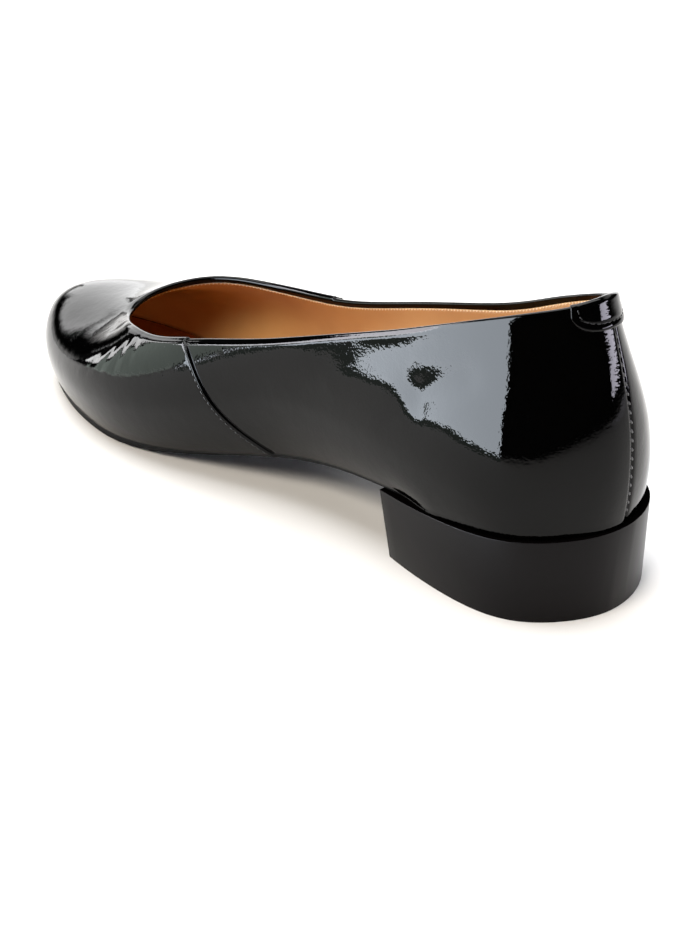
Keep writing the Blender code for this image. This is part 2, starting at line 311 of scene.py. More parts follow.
patent = patentLeather()
liningSkin = liningLeather("liningGlazedSheepskin", liningLook, 0.5)
sockSkin = liningLeather("sockGlazedSheepskin", sockLook, 0.5)
heelSatin = satinHeel()
seatStain = rawSeat()
soleSheet = soleRubber()
blackThread = waxedThread("threadBlackPolyester", threadLook["black"], 0.35)
tanThread = waxedThread("threadTanPolyester", threadLook["tan"], 0.5)
print("materials ready")


# the last that the leather is drawn over, in the CAD's own sizes

last = {
    "footLength": 243.5 * mm,
    "heelWidth": 53.9 * mm,
    "ballWidth": 73.0 * mm,
    "collarLength": 192.0 * mm,
    "collarWidth": 60.0 * mm,
    "quarterHeight": 57.0 * mm,
    "throatHeight": 32.0 * mm,
    "seamTop": 145.8 * mm,
    "seamFoot": 105.5 * mm,
    "seamSweep": 0.9,
}

sole = {
    "heelHeight": 23.8 * mm,
    "heelFall": 4.0 * mm,
    "heelLength": 60.5 * mm,
    "seatSole": 1.2 * mm,
    "forefootSole": 2.6 * mm,
    "shankEnd": 115.0 * mm,
    "ballStart": 180.0 * mm,
    "ballEnd": 195.0 * mm,
    "toeSpring": 9.0 * mm,
    "springCurve": 1.7,
    "gap": 0.3 * mm,
}

# one row a section, from the back along the outer side to the toe, then back along the inner side: share of
# the foot, shares of heel and ball width, topline's place and height as shares, flare and lean in degrees,
# root and crown
sections = [
    (0.00, 0.010, 0.000, 0.042, 0.000, 1.010, 16, 16, 0.40, 0.37),
    (0.02, 0.270, 0.000, 0.063, 0.163, 1.000, 18, 14, 0.38, 0.38),
    (0.06, 0.432, 0.000, 0.125, 0.295, 0.985, 23, 13, 0.38, 0.38),
    (0.14, 0.488, 0.000, 0.225, 0.380, 0.940, 28, 12, 0.36, 0.36),
    (0.28, 0.400, 0.032, 0.368, 0.422, 0.865, 30, 14, 0.34, 0.34),
    (0.42, 0.240, 0.125, 0.527, 0.467, 0.855, 31, 20, 0.34, 0.34),
    (0.56, 0.050, 0.358, 0.660, 0.500, 0.905, 33, 30, 0.34, 0.34),
    (0.69, 0.000, 0.450, 0.772, 0.508, 0.930, 34, 42, 0.34, 0.36),
    (0.80, 0.000, 0.395, 0.853, 0.455, 0.980, 31, 52, 0.35, 0.40),
    (0.90, 0.000, 0.282, 0.920, 0.338, 0.960, 25, 56, 0.32, 0.41),
    (0.97, 0.000, 0.128, 0.975, 0.205, 0.925, 23, 61, 0.31, 0.42),
    (1.00, 0.000, -0.080, 1.007, 0.035, 0.970, 29, 68, 0.42, 0.46),
    (0.97, 0.000, -0.286, 0.995, -0.195, 1.050, 35, 60, 0.42, 0.46),
    (0.90, 0.000, -0.437, 0.936, -0.372, 1.065, 36, 56, 0.37, 0.44),
    (0.80, 0.000, -0.527, 0.857, -0.466, 0.990, 34, 52, 0.36, 0.40),
    (0.69, 0.000, -0.545, 0.769, -0.495, 0.905, 34, 42, 0.34, 0.36),
    (0.56, -0.050, -0.397, 0.657, -0.484, 0.817, 32, 30, 0.34, 0.34),
    (0.42, -0.240, -0.137, 0.517, -0.466, 0.768, 30, 20, 0.34, 0.34),
    (0.28, -0.400, -0.031, 0.347, -0.424, 0.770, 30, 14, 0.34, 0.34),
    (0.14, -0.503, 0.000, 0.199, -0.374, 0.874, 27, 12, 0.36, 0.36),
    (0.06, -0.445, 0.000, 0.107, -0.282, 0.938, 21, 14, 0.38, 0.38),
    (0.02, -0.281, 0.000, 0.064, -0.153, 0.980, 19, 15, 0.38, 0.37),
]
toeRow = 11


def fitSections():
    angles, values = [], []
    for number, row in enumerate(sections):
        along, heel, ball, topAlong, topOut, rise, flare, lean, root, crown = row
        angle = math.acos(1 - 2 * along)
        angles.append(angle if number <= toeRow else 2 * math.pi - angle)
        height = last["quarterHeight"] + (last["throatHeight"] - last["quarterHeight"]) * min(topAlong, 1.0)
        values.append((heel * last["heelWidth"] + ball * last["ballWidth"], topAlong * last["collarLength"],
                       topOut * last["collarWidth"], rise * height, math.radians(flare), math.radians(lean),
                       root, crown))
    angles, values = np.array(angles), np.array(values)
    count = len(angles)
    spans = np.diff(np.append(angles, angles[0] + 2 * math.pi))
    left, right = np.zeros((count, count)), np.zeros((count, count))
    for here in range(count):
        before, after = (here - 1) % count, (here + 1) % count
        left[here, before] += spans[before]
        left[here, here] += 2 * (spans[before] + spans[here])
        left[here, after] += spans[here]
        right[here, after] += 6 / spans[here]
        right[here, here] -= 6 / spans[here] + 6 / spans[before]
        right[here, before] += 6 / spans[before]
    return angles, values, spans, np.linalg.solve(left, right @ values)


knots, knotValues, knotSpans, knotBends = fitSections()


def sectionAt(angle):
    # a smooth closed curve through the rows
    angle = np.mod(np.asarray(angle, dtype=float), 2 * math.pi)
    here = np.clip(np.searchsorted(knots, angle, side="right") - 1, 0, len(knots) - 1)
    after = (here + 1) % len(knots)
    share = ((angle - knots[here]) / knotSpans[here])[:, None]
    rest = 1 - share
    scale = (knotSpans[here] ** 2 / 6)[:, None]
    straight = rest * knotValues[here] + share * knotValues[after]
    return straight + scale * ((rest**3 - rest) * knotBends[here] + (share**3 - share) * knotBends[after])


def smoothStep(value):
    value = np.clip(value, 0.0, 1.0)
    return value * value * (3 - 2 * value)


def soleBottom(x):
    x = np.asarray(x, dtype=float)
    slope = -sole["heelFall"] / sole["heelLength"]
    seat = sole["heelHeight"] + sole["gap"] + slope * x
    breast = sole["heelHeight"] + sole["gap"] - sole["heelFall"]
    run = sole["ballStart"] - sole["heelLength"]
    share = np.clip((x - sole["heelLength"]) / run, 0.0, 1.0)
    waist = breast * (1 - 3 * share**2 + 2 * share**3) + slope * run * (share - 2 * share**2 + share**3)
    springShare = np.clip((x - sole["ballEnd"]) / (last["footLength"] - sole["ballEnd"]), 0.0, 1.2)
    spring = sole["toeSpring"] * springShare ** sole["springCurve"]
    return np.where(x < sole["heelLength"], seat, np.where(x < sole["ballStart"], waist, spring))


def footHeight(x):
    x = np.asarray(x, dtype=float)
    forefoot = smoothStep((x - sole["shankEnd"]) / (sole["ballStart"] - sole["shankEnd"]))
    thickness = sole["seatSole"] + (sole["forefootSole"] - sole["seatSole"]) * forefoot
    return soleBottom(x) + thickness + sole["gap"]


def footLine(angle, offset=0.0):
    angle = np.asarray(angle, dtype=float)
    step = 1e-4
    x = last["footLength"] * (1 - np.cos(angle)) / 2
    y = sectionAt(angle)[:, 0]
    runX = last["footLength"] * np.sin(angle) / 2
    runY = (sectionAt(angle + step)[:, 0] - sectionAt(angle - step)[:, 0]) / (2 * step)
    size = np.hypot(runX, runY)
    out = np.stack([-runY / size, runX / size], axis=1)
    return np.stack([x, y], axis=1) + out * np.reshape(offset, (-1, 1)), out


def lastPoint(angle, climb):
    # angle runs round the foot, climb from 0 at the sole to 1 at the topline
    plan, out = footLine(angle)
    values = sectionAt(angle)
    foot = np.column_stack([plan, footHeight(plan[:, 0])])
    top = np.column_stack([values[:, 1], values[:, 2], footHeight(values[:, 1]) + values[:, 3]])
    flare, lean, root, crown = [values[:, [column]] for column in range(4, 8)]
    out = np.column_stack([out, np.zeros(len(out))])
    up = np.array([0.0, 0.0, 1.0])
    reach = np.linalg.norm(top - foot, axis=1)[:, None]
    low = foot + (up * np.cos(flare) + out * np.sin(flare)) * root * reach
    high = top - (up * np.cos(lean) - out * np.sin(lean)) * crown * reach
    climb = np.asarray(climb, dtype=float)[:, None]
    rest = 1 - climb
    return rest**3 * foot + 3 * rest**2 * climb * low + 3 * rest * climb**2 * high + climb**3 * top


def angleAt(distance):
    return math.acos(1 - 2 * distance / last["footLength"])


seamStation = angleAt(last["seamTop"])


def seamAngle(station, climb):
    # turns an even station into an angle, so that one column of faces follows each side seam
    outer = station <= math.pi
    half = np.where(outer, station, 2 * math.pi - station)
    shift = (angleAt(last["seamFoot"]) - seamStation) * np.maximum(1 - climb, 0.0) ** last["seamSweep"]
    behind = np.cos(math.pi / 2 * np.clip((seamStation - half) / seamStation, 0, 1)) ** 2
    ahead = np.cos(math.pi / 2 * np.clip((half - seamStation) / (math.pi - seamStation), 0, 1)) ** 2
    half = half + shift * np.where(half < seamStation, behind, ahead)
    return np.where(outer, half, 2 * math.pi - half)


def lastSurface(station, climb, lift=0.0):
    # points lifted off the last, with their normals and the way up the wall, not yet moved to the frame
    station, climb = np.broadcast_arrays(np.asarray(station, dtype=float), np.asarray(climb, dtype=float))
    station, climb = station.ravel(), climb.ravel()
    angle = seamAngle(station, climb)
    step = 1e-4
    around = lastPoint(angle + step, climb) - lastPoint(angle - step, climb)
    rising = lastPoint(angle, climb + step) - lastPoint(angle, climb - step)
    normal = np.cross(rising, around)
    normal /= np.linalg.norm(normal, axis=1)[:, None]
    rising /= np.linalg.norm(rising, axis=1)[:, None]
    return lastPoint(angle, climb) + normal * np.reshape(lift, (-1, 1)), normal, rising


frameShift = (-121.39 * mm, 2.65 * mm, 0.0)

# the leather over the last at the seams: places across the seam and heights, in mm
lap = {
    # from the foot of the vamp's folded edge on the quarter to the stitched trough and the plain leather
    "vamp": [(-0.40, 0.00), (-0.10, -0.04), (0.00, 0.06), (0.10, 0.22), (0.30, 0.44), (0.55, 0.62),
             (0.80, 0.74), (1.00, 0.77), (1.20, 0.75), (1.40, 0.735), (1.60, 0.75), (1.90, 0.78),
             (2.60, 0.80), (5.00, 0.80)],
    "vampFoot": 0.41 * mm,
    # from the stitched trench on the inner side to the outer quarter's edge, which stands over it
    "back": [(-2.6, 0.0), (-2.1, -0.12), (-1.6, -0.42), (-1.0, -0.52), (-0.4, -0.46), (-0.12, -0.30),
             (0.02, 0.30), (0.14, 0.52), (0.4, 0.62), (1.4, 0.62), (3.0, 0.60)],
    "backFlat": 3.0 * mm,
    "backReach": 14.0 * mm,       # how far the outer quarter takes to come down again
}


def halfStation(station):
    return np.where(station <= math.pi, station, 2 * math.pi - station)


pace = last["footLength"] * math.sin(seamStation) / 2
backPace = last["heelWidth"]


def profile(places, table):
    return np.interp(places, [place for place, _ in table], [height for _, height in table]) * mm


def leatherLift(station):
    # what the laps add, at stations round the shoe
    half = halfStation(station)
    vamp = profile((half - seamStation) * pace / mm, lap["vamp"])
    fromBack = np.where(station <= math.pi, station, station - 2 * math.pi) * backPace
    back = profile(fromBack / mm, lap["back"])
    back = back * (1 - smoothStep((fromBack - lap["backFlat"]) / lap["backReach"]))
    back = np.where(fromBack < 5 * lap["backReach"], back, 0.0)
    return np.where(half > seamStation - lap["vampFoot"] / pace, vamp, back)


# columns of faces round the shoe: even ones, with finer ones over the toe's ripples and at the seams
columnPlan = {
    "even": 190,
    "rippled": (117.2, 137.2, 90),        # from and to, in degrees round from the back, and how many
    "seamMiddle": 2.2 * mm,               # the even ones stay off this strip beside a side seam
    "seamHalf": 3.1 * mm,
    "backOuter": [0.02, 0.08, 0.14, 0.25, 0.4, 0.9, 1.4, 1.6, 1.8, 2.0, 2.2, 2.6, 3.0],
    "backOuterEnd": 3.4 * mm,
    "backInner": [0.12, 0.25, 0.4, 0.7, 1.0, 1.3, 1.6, 1.85, 2.1, 2.35, 2.6],
    "backInnerEnd": 2.8 * mm,
}


def roundStations():
    fromDegrees, toDegrees, count = columnPlan["rippled"]
    even = np.linspace(0, math.pi, columnPlan["even"])
    even = np.sort(np.concatenate([even, np.radians(np.linspace(fromDegrees, toDegrees, count))]))
    fromSeam = np.abs(even - seamStation - columnPlan["seamMiddle"] / pace)
    even = even[fromSeam > columnPlan["seamHalf"] / pace]
    seams = np.array([place for place, _ in lap["vamp"]]) * mm / pace + seamStation
    sides = []
    for name in ("backOuter", "backInner"):
        side = even[even > columnPlan[name + "End"] / backPace]
        if name == "backInner":
            side = side[:-1]      # the toe's own column is in the outer side already
        sides.append(np.sort(np.concatenate([side, seams, np.array(columnPlan[name]) * mm / backPace])))
    outer, inner = sides
    return np.concatenate([outer, 2 * math.pi - inner[::-1]])


# how the wall swells outward under the topline and rolls in over it: degrees round from the back, how far it
# stands out, and how far below the topline it starts (mm)
swells = [(0, 0.00, 8), (40, 0.00, 5), (46, 0.14, 5), (54, 0.18, 5), (62, 0.16, 6), (69, 0.34, 9),
          (76, 0.65, 13), (92, 0.85, 14), (107, 0.95, 15), (116, 0.85, 15), (125, 0.60, 14), (134, 0.30, 12),
          (142, 0.00, 12), (180, 0.00, 12)]
shoulder = {
    "width": 1.5 * mm,
    "fall": 0.26 * mm,
    "share": 0.45,                # and this share of the swell
    "from": 20,                   # it grows from here, in degrees round from the back
    "over": 25,
}

# the quarter fills out over the heel seat, and its lower edge reaches down to the heel
seat = {
    "out": 1.9 * mm,
    "share": 0.34,
    "reach": 1.45 * mm,
    "full": math.radians(57),
    "end": math.radians(72),
}

# soft creases, listed one by one: from and to (degrees round, share of the climb), width and height in mm
creases = [
    (49.6, 0.675, 38.0, 0.745, 5.3, -0.74),    # long shallow trough along the quarter
    (72.0, 0.68, 59.0, 0.70, 5.0, 0.22),       # low ridge ahead of it
    (60.0, 0.50, 52.0, 0.54, 5.0, -0.12),
    (119.4, 0.80, 118.6, 0.97, 1.2, -0.05),    # pulled ripples where the vamp was drawn over the toe
    (121.6, 0.72, 121.2, 0.95, 0.9, 0.04),
    (123.3, 0.68, 123.1, 0.90, 0.8, -0.05),
    (125.4, 0.64, 124.9, 0.88, 1.0, 0.04),
    (127.2, 0.62, 127.0, 0.84, 0.8, -0.045),
    (128.9, 0.60, 128.5, 0.80, 0.9, 0.04),
    (131.0, 0.56, 130.6, 0.78, 1.0, -0.04),
    (133.4, 0.52, 133.0, 0.72, 1.1, 0.03),
]


def swellLift(station, climb):
    degrees = np.degrees(halfStation(station))
    places, heights, reaches = zip(*swells)
    height = np.interp(degrees, places, heights) * mm
    reach = np.interp(degrees, places, reaches) * mm
    top, foot = [lastPoint(station, np.full(len(station), climbed)) for climbed in (1.0, 0.0)]
    wall = np.linalg.norm(top - foot, axis=1)
    below = (1 - climb) * wall
    rise = np.clip((reach - below) / (reach - shoulder["width"]), 0.0, 1.0) ** 1.5
    fall = shoulder["fall"] + shoulder["share"] * height
    roll = fall * np.clip(1 - below / shoulder["width"], 0.0, 1.0) ** 2
    forward = smoothStep((degrees - shoulder["from"]) / shoulder["over"])
    return height * rise - roll * forward


def seatShare(station):
    return 1 - smoothStep((halfStation(station) - seat["full"]) / (seat["end"] - seat["full"]))


def creaseLift(station, climb):
    lift = swellLift(station, climb)
    lift += seat["out"] * seatShare(station) * np.clip(1 - climb / seat["share"], 0.0, 1.0) ** 2
    here = lastSurface(station, climb)[0]
    for fromDegrees, fromClimb, toDegrees, toClimb, width, height in creases:
        ends = lastSurface(np.radians([fromDegrees, toDegrees]), [fromClimb, toClimb])[0]
        line = ends[1] - ends[0]
        share = np.clip((here - ends[0]) @ line / (line @ line), 0.0, 1.0)
        away = np.linalg.norm(here - ends[0] - share[:, None] * line, axis=1)
        lift += height * mm * np.exp(-(away / (width * mm)) ** 2)
    return lift


def toWorld(points):
    return np.asarray(points) + np.array(frameShift)


def meshFrom(name, points, faces, smooth=True):
    mesh = bpy.data.meshes.new(name)
    mesh.from_pydata([tuple(point) for point in points], [], faces)
    piece = bpy.data.objects.new(name, mesh)
    scene.collection.objects.link(piece)
    if smooth:
        mesh.shade_smooth()
    return piece


def loftGrid(name, rings, closedAround=True):
    # rings of like-numbered points, skinned with quads; each ring closes on itself
    rings = np.asarray(rings)
    count, size = rings.shape[:2]
    faces = []
    for here in range(count if closedAround else count - 1):
        after = (here + 1) % count
        for place in range(size):
            beside = (place + 1) % size
            corners = ((here, place), (here, beside), (after, beside), (after, place))
            faces.append(tuple(ring * size + corner for ring, corner in corners))
    if not closedAround:
        faces.append(tuple(range(size))[::-1])
        faces.append(tuple((count - 1) * size + place for place in range(size)))
    piece = meshFrom(name, toWorld(rings.reshape(-1, 3)), faces)
    pick(piece)
    bpy.ops.object.mode_set(mode="EDIT")
    bpy.ops.mesh.select_all(action="SELECT")
    bpy.ops.mesh.remove_doubles(threshold=0.002 * mm)
    bpy.ops.mesh.normals_make_consistent(inside=False)
    bpy.ops.object.mode_set(mode="OBJECT")
    return piece


# upper: patent leather outside, over the rolled topline and a little way down the inside

upperPlan = {
    "wallRows": 44,
    "lipSteps": 8,
    "insideRows": 10,
    "topRows": 10,
    "inside": 1.35 * mm,          # how far in the leather's inner face lies; the lining fills the rest
    "hemInside": 0.9 * mm,
    "hemDrop": 0.06 * mm,
    # rows below the foot: share of the drop, and how far the edge tucks in (mm)
    "skirt": [(1.0, 0.40), (0.97, 0.12), (0.8, 0.0), (0.4, 0.0)],
}


def upperRings():
    stations = roundStations()
    lifts = leatherLift(stations)
    plan = upperPlan
    climbs = np.concatenate([np.linspace(0, 0.93, plan["wallRows"]), np.linspace(0.94, 1, plan["topRows"])])
    downs = np.linspace(1, 0, plan["insideRows"])
    rows = []
    for climb in climbs:
        lift = lifts + creaseLift(stations, np.full(len(stations), climb))
        points, normal, rising = lastSurface(stations, np.full(len(stations), climb), lift)
        rows.append(points)
    foot, outside = rows[0], rows[-1]
    skirt = (plan["hemDrop"] + seat["reach"] * seatShare(stations))[:, None] * np.array([0.0, 0.0, -1.0])
    out = lastSurface(stations, np.zeros(len(stations)))[1] * [1, 1, 0]
    under = [foot + skirt * share - out * tuck * mm for share, tuck in plan["skirt"]]
    inner, _, _ = lastSurface(stations, np.ones(len(stations)), -plan["inside"])
    middle = (outside + inner) / 2
    radius = np.linalg.norm(outside - inner, axis=1)[:, None] / 2
    for step in range(1, plan["lipSteps"]):
        turn = math.pi * step / plan["lipSteps"]
        rows.append(middle + radius * (math.cos(turn) * normal + math.sin(turn) * rising))
    for climb in downs:
        points, _, _ = lastSurface(stations, np.full(len(stations), climb), -plan["inside"])
        rows.append(points)
    hem, _, _ = lastSurface(stations, np.zeros(len(stations)), -plan["hemInside"])
    return np.stack(under + rows + [hem + skirt * 0.15, hem + skirt], axis=1)


upper = loftGrid("upperPatent", upperRings())
wear(upper, patent)
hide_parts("upper")
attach(upper, "root")
print("upper", len(upper.data.polygons), "faces")


# lining: tan leather from just under the folded black edge down to the sock

liningPlan = {
    "below": 1.75 * mm,           # black fold left showing above it, less of it toward the heel
    "belowAtHeel": 0.95 * mm,
    "foldFrom": 0.35,             # the fold deepens from this station, over this much of the way round
    "foldOver": 0.75,
    "thickness": 0.35 * mm,
    "face": 1.62 * mm,            # how far in its face lies
    "rows": 34,
}


def climbBelow(stations, drop):
    # the climb at a distance down the wall from the topline
    climbs = np.linspace(0.0, 1.0, 61)
    columns = np.stack([lastSurface(stations, np.full(len(stations), climb))[0] for climb in climbs])
    steps = np.linalg.norm(np.diff(columns, axis=0), axis=2)[::-1]
    below = np.vstack([np.zeros(len(stations)), np.cumsum(steps, axis=0)])
    return np.array([np.interp(one, below[:, number], climbs[::-1]) for number, one in enumerate(drop)])


def foldAt(stations):
    plan = liningPlan
    forward = smoothStep((halfStation(stations) - plan["foldFrom"]) / plan["foldOver"])
    return plan["belowAtHeel"] + (plan["below"] - plan["belowAtHeel"]) * forward


def liningRings():
    stations = np.linspace(0, 2 * math.pi, 289)[:-1]
    top = climbBelow(stations, foldAt(stations))
    face, back = liningPlan["face"], liningPlan["face"] - liningPlan["thickness"]
    rows = []
    for share in np.linspace(1, 0.01, liningPlan["rows"]):
        rows.append(lastSurface(stations, top * share, -face)[0])
    for share in np.linspace(0.01, 1, 8):
        rows.append(lastSurface(stations, top * share, -back)[0])
    edge, _, rising = lastSurface(stations, top, -(face + back) / 2)
    rows.append(edge + rising * 0.12 * mm)
    return np.stack(rows, axis=1)


lining = loftGrid("liningInside", liningRings())
wear(lining, liningSkin)
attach(lining, "root")
print("lining", len(lining.data.polygons), "faces")


# heel tab: half-round patch over the top of the back seam, wrapped over the topline

tabPlan = {
    "width": 22.0 * mm,
    "drop": 7.2 * mm,
    "over": 2.6 * mm,             # what goes over the topline and down the inside
    "round": 2.4,
    "thickness": 0.50 * mm,
    "lift": 0.45 * mm,
    "edge": 0.5 * mm,             # the patch thins this far in from its cut edge
    "troughIn": 1.9 * mm,         # and is pulled down along the stitches
    "troughWidth": 0.4 * mm,
    "troughDepth": 0.14 * mm,
    "columns": 50,
    "rows": 34,
}
wallLeather = upperPlan["inside"]


def backLine():
    fine = np.linspace(-0.9, 0.9, 361)
    line, _, _ = lastSurface(np.mod(fine, 2 * math.pi), np.ones(len(fine)))
    travelled = np.append(0, np.cumsum(np.linalg.norm(np.diff(line, axis=0), axis=1)))
    return fine, travelled - np.interp(0.0, fine, travelled)


backStations, backTravelled = backLine()


def columnDepth(station):
    # lengths down the wall from the topline, against climb
    climbs = np.linspace(0.6, 1, 41)
    column, _, _ = lastSurface(np.full(41, station), climbs)
    below = np.append(0, np.linalg.norm(np.diff(column, axis=0), axis=1)[::-1].cumsum())
    return below, climbs[::-1]


def tabColumn(across, downs, lifts):
    # one column of the patch: downs below zero go round the rolled topline and on down the inside
    station = float(np.interp(across, backTravelled, backStations)) % (2 * math.pi)
    below, climbs = columnDepth(station)
    top, normal, rising = [values[0] for values in lastSurface([station], [1.0])]
    made = []
    for down, lift in zip(downs, lifts):
        radius = (lift + wallLeather) / 2
        turn = min(-down / (tabPlan["lift"] + wallLeather) * 2, math.pi)
        if down >= 0:
            point, facing, _ = lastSurface([station], [float(np.interp(down, below, climbs))], lift)
            made.append((point[0], facing[0]))
        else:
            middle = top + normal * (lift - wallLeather) / 2
            facing = math.cos(turn) * normal + math.sin(turn) * rising
            made.append((middle + radius * facing, facing))
    return made


def tabRings():
    shares = np.sin(np.linspace(-math.pi / 2, math.pi / 2, tabPlan["columns"])) * 0.985
    rings = []
    for share in shares:
        drop = tabPlan["drop"] * (1 - abs(share) ** tabPlan["round"]) ** (1 / tabPlan["round"])
        downs = np.linspace(-tabPlan["over"], drop, tabPlan["rows"])
        edge = downs[-1] - downs
        side = (1 - abs(share)) * tabPlan["width"] / 2
        near = np.minimum(edge, side)
        fall = tabPlan["thickness"] * (1 - smoothStep(near / tabPlan["edge"])) ** 2
        trough = tabPlan["troughDepth"] * np.exp(-((near - tabPlan["troughIn"]) / tabPlan["troughWidth"]) ** 2)
        across = share * tabPlan["width"] / 2
        over = tabColumn(across, downs, tabPlan["lift"] + tabPlan["thickness"] - fall - trough)
        under = tabColumn(across, downs[::-1], np.full(len(downs), -0.1 * mm))
        rings.append(np.array([point for point, _ in over + under]))
    return rings


tab = loftGrid("heelTabPatent", tabRings(), closedAround=False)
wear(tab, patent)
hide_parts("heel_tab")
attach(tab, "root")
print("tab", len(tab.data.polygons), "faces")


# sole, heel and sock: the CAD's own pieces with their edges softened

def softened(nodeName, pieceName, width, material):
    piece = copyOfNode(nodeName, pieceName)
    addModifier(piece, "BEVEL", {"width": width, "segments": 3, "limit_method": "ANGLE",
                                 "angle_limit": math.radians(35), "harden_normals": False})
    pick(piece)
    bpy.ops.object.shade_smooth_by_angle(angle=math.radians(50))
    wear(piece, material)
    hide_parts(nodeName)
    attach(piece, "root")
    print(nodeName, len(piece.data.polygons), "faces")
    return piece


heel = softened("heel", "heelBlock", 0.40 * mm, heelSatin)
heel.data.materials.append(seatStain)
flatUp = 0.9
for face in heel.data.polygons:
    if face.normal.z > flatUp:
        face.material_index = 1
softened("outsole", "outsoleSheet", 0.3 * mm, soleSheet)
softened("insole", "sockSheet", 0.35 * mm, sockSkin)


# stitching

def sewLine(name, points, normals, settings, material):
    # one stitch, copied along the line, each copy laid along it on the leather
    bpy.ops.object.select_all(action="DESELECT")
    bpy.ops.mesh.primitive_uv_sphere_add(segments=8, ring_count=6, radius=0.5, location=(0, 0, 0))
    stitch = bpy.context.active_object
    stitch.scale = (settings["length"], settings["thickness"], settings["thickness"] * 0.8)
    bpy.ops.object.transform_apply(location=False, rotation=True, scale=True)
    steps = np.linalg.norm(np.diff(points, axis=0), axis=1)
    travelled = np.append(0, steps.cumsum())
    total = travelled[-1]
    count = max(2, round(total / settings["pitch"]))
    copies = []
    near = 0.3 * mm
    for number in range(count):
        distance = total * (number + 0.5) / count
        reads = ((distance, points), (distance + near, points), (distance - near, points), (distance, normals))
        here, ahead, behind, normal = [
            Vector([np.interp(place, travelled, values[:, axis]) for axis in range(3)])
            for place, values in reads]
        normal.normalize()
        along = (ahead - behind).normalized()
        side = normal.cross(along).normalized()
        along = side.cross(normal)
        turn = Matrix((along, side, normal)).transposed().to_4x4()
        copy = stitch.copy()
        copy.data = stitch.data.copy()
        copy.matrix_world = (Matrix.Translation(here + normal * settings["rise"]) @ turn
                             @ Matrix.Rotation(settings["slant"], 4, "Z"))
        scene.collection.objects.link(copy)
        copies.append(copy)
    bpy.data.objects.remove(stitch)
    pick(*copies)
    bpy.ops.object.join()
    row = bpy.context.active_object
    row.name = name
    row.data.name = name
    bpy.ops.object.transform_apply(location=True, rotation=True, scale=True)
    bpy.ops.object.shade_smooth()
    wear(row, material)
    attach(row, "root")
    return row


# length, thickness, pitch and rise in mm, and the slant across the line
stitchSizes = {
    "side": (1.45, 0.36, 1.95, 0.08, 0.12),
    "back": (2.2, 0.85, 2.4, 0.36, 0.75),
    "tab": (1.2, 0.32, 1.7, 0.03, 0.1),
    "lining": (0.72, 0.42, 1.35, 0.03, 0.9),
}
stitchPlan = {
    name: {"length": length * mm, "thickness": thickness * mm, "pitch": pitch * mm, "rise": rise * mm,
           "slant": slant}
    for name, (length, thickness, pitch, rise, slant) in stitchSizes.items()
}
stitchPlace = {
    "side": 1.4 * mm,             # ahead of the side seam
    "back": 1.05 * mm,            # beside the back seam, in its trench
    "backTop": 0.88,              # the tab covers the rest
    "tabDown": 0.12 * mm,         # the tab's stitches lie in its trough
    "lining": 0.22 * mm,          # below the black fold
}

climbsUp = np.linspace(0.02, 0.985, 90)
for side, turn in (("Outer", 1), ("Inner", -1)):
    station = (turn * (seamStation + stitchPlace["side"] / pace)) % (2 * math.pi)
    stations = np.full(len(climbsUp), station)
    lifts = leatherLift(stations) + creaseLift(stations, climbsUp)
    points, normals, _ = lastSurface(stations, climbsUp, lifts)
    sewLine("stitchSide" + side, toWorld(points), normals, stitchPlan["side"], blackThread)

stations = np.full(len(climbsUp), 2 * math.pi - stitchPlace["back"] / backPace)
climbsBack = climbsUp * stitchPlace["backTop"]
lifts = leatherLift(stations) + creaseLift(stations, climbsBack)
points, normals, _ = lastSurface(stations, climbsBack, lifts)
sewLine("stitchBack", toWorld(points), normals, stitchPlan["back"], blackThread)

inset = tabPlan["troughIn"]
halfWide = tabPlan["width"] / 2 - inset
tabLine = []
for turn in np.linspace(-1, 1, 90):
    across = halfWide * math.sin(turn * math.pi / 2)
    share = max(1 - abs(across / halfWide) ** tabPlan["round"], 0.0)
    drop = (tabPlan["drop"] - inset) * share ** (1 / tabPlan["round"])
    tabLine += tabColumn(across, [drop], [tabPlan["lift"] + tabPlan["thickness"] - stitchPlace["tabDown"]])
points, normals = [np.array(values) for values in zip(*tabLine)]
sewLine("stitchTab", toWorld(points), normals, stitchPlan["tab"], blackThread)

stations = np.linspace(0, 2 * math.pi, 721)
stations = np.mod(stations, 2 * math.pi)
tops = climbBelow(stations, foldAt(stations) + stitchPlace["lining"])
points, normals, _ = lastSurface(stations, tops, -liningPlan["face"])
sewLine("stitchLining", toWorld(points), -normals, stitchPlan["lining"], tanThread)
print("stitches ready")


# floor, lights and camera

floorPlan = {"size": 8.0, "colour": "#F6F6F6"}

bpy.ops.mesh.primitive_plane_add(size=floorPlan["size"], location=(0, 0, 0))
floor = bpy.context.active_object
floor.name = "floorPaper"
paper = newMaterial("floorMattePaper")
paperShader = addNode(paper, "ShaderNodeBsdfPrincipled", {"Base Color": hexColour(floorPlan["colour"]),
                      "Roughness": 0.9, "Specular IOR Level": 0.1})
finishMaterial(paper, paperShader)
floor.data.materials.append(paper)

